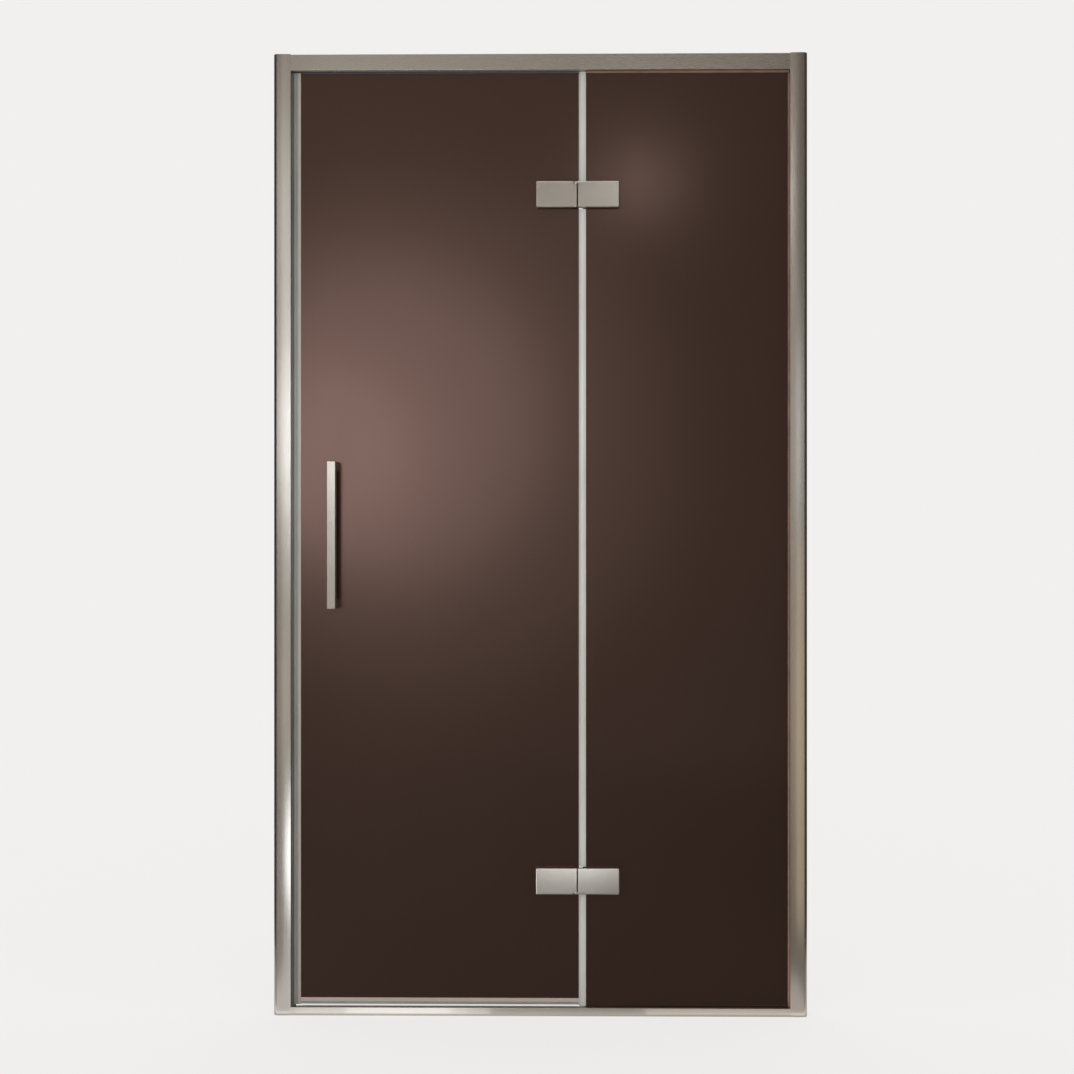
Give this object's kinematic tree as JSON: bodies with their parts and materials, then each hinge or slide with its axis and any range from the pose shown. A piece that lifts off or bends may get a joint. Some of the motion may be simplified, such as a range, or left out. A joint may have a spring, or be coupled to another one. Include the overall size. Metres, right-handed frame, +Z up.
{
  "type": "hinged shower door",
  "caption": "Framed shower screen in bronze glass: an outward-opening door on glass-to-glass hinges beside a fixed pane, with a square bar handle and seals.",
  "frame": {"origin": "underside of the threshold rail, at mid width and mid depth of the frame, on the tray", "axes": "+X to the right as seen from outside the shower, -Y towards the person outside, +Z up"},
  "size_m": [1.11, 0.0738, 2],
  "materials": {
    "satin_frame": "satin nickel coloured anodised",
    "plain_aluminium": "mill finish",
    "satin_fittings": "satin nickel",
    "screw_steel": "bright",
    "cap_plastic": "metallised",
    "bronze_glass": "bronze, mirror-like",
    "seal_pvc": "translucent",
    "bronze_pvc": "tinted to match the glass",
    "magnet_rubber": "matt",
    "black_rubber": "matt",
    "clear_nylon": "natural"
  },
  "bodies": {
    "frame": {"left_wall_channel": "plain_aluminium", "right_wall_channel": "plain_aluminium", "left_jamb": "satin_frame", "right_jamb": "satin_frame", "left_jamb_cap": "satin_frame", "right_jamb_cap": "satin_frame", "top_rail": "satin_frame", "threshold_rail": "satin_frame", "top_rail_infill": "satin_frame", "threshold_infill": "satin_frame", "corner_screws": "screw_steel", "jamb_screws": "screw_steel", "jamb_screw_caps": "cap_plastic", "jamb_magnet_seal": "seal_pvc", "jamb_magnet_strip": "magnet_rubber", "fixed_glass": "bronze_glass", "side_glazing_gaskets": "bronze_pvc", "top_glazing_gaskets": "bronze_pvc", "bottom_glazing_gaskets": "black_rubber", "setting_blocks": "black_rubber", "centre_seal": "seal_pvc", "upper_fixed_leaf": "satin_fittings", "lower_fixed_leaf": "satin_fittings", "upper_fixed_backplate": "satin_fittings", "lower_fixed_backplate": "satin_fittings", "upper_hinge_pin": "screw_steel", "lower_hinge_pin": "screw_steel", "hinge_washers": "clear_nylon", "fixed_hinge_gaskets": "clear_nylon", "fixed_hinge_sleeves": "clear_nylon", "fixed_hinge_screws": "screw_steel"},
    "door": {"door_glass": "bronze_glass", "door_magnet_seal": "seal_pvc", "door_magnet_strip": "magnet_rubber", "door_bottom_seal": "seal_pvc", "upper_door_leaf": "satin_fittings", "lower_door_leaf": "satin_fittings", "upper_door_backplate": "satin_fittings", "lower_door_backplate": "satin_fittings", "door_hinge_gaskets": "clear_nylon", "door_hinge_sleeves": "clear_nylon", "door_hinge_screws": "screw_steel", "handle": "satin_fittings", "handle_pads": "clear_nylon", "handle_sleeves": "clear_nylon", "handle_screws": "screw_steel", "handle_roses": "satin_fittings"}
  },
  "joints": [
    {"name": "door_swing", "type": "hinge", "parent": "frame", "child": "door", "pos_m": [0.0736, -0.0132, 0], "axis": [0, 0, 1], "range_deg": [0, 110]}
  ]
}
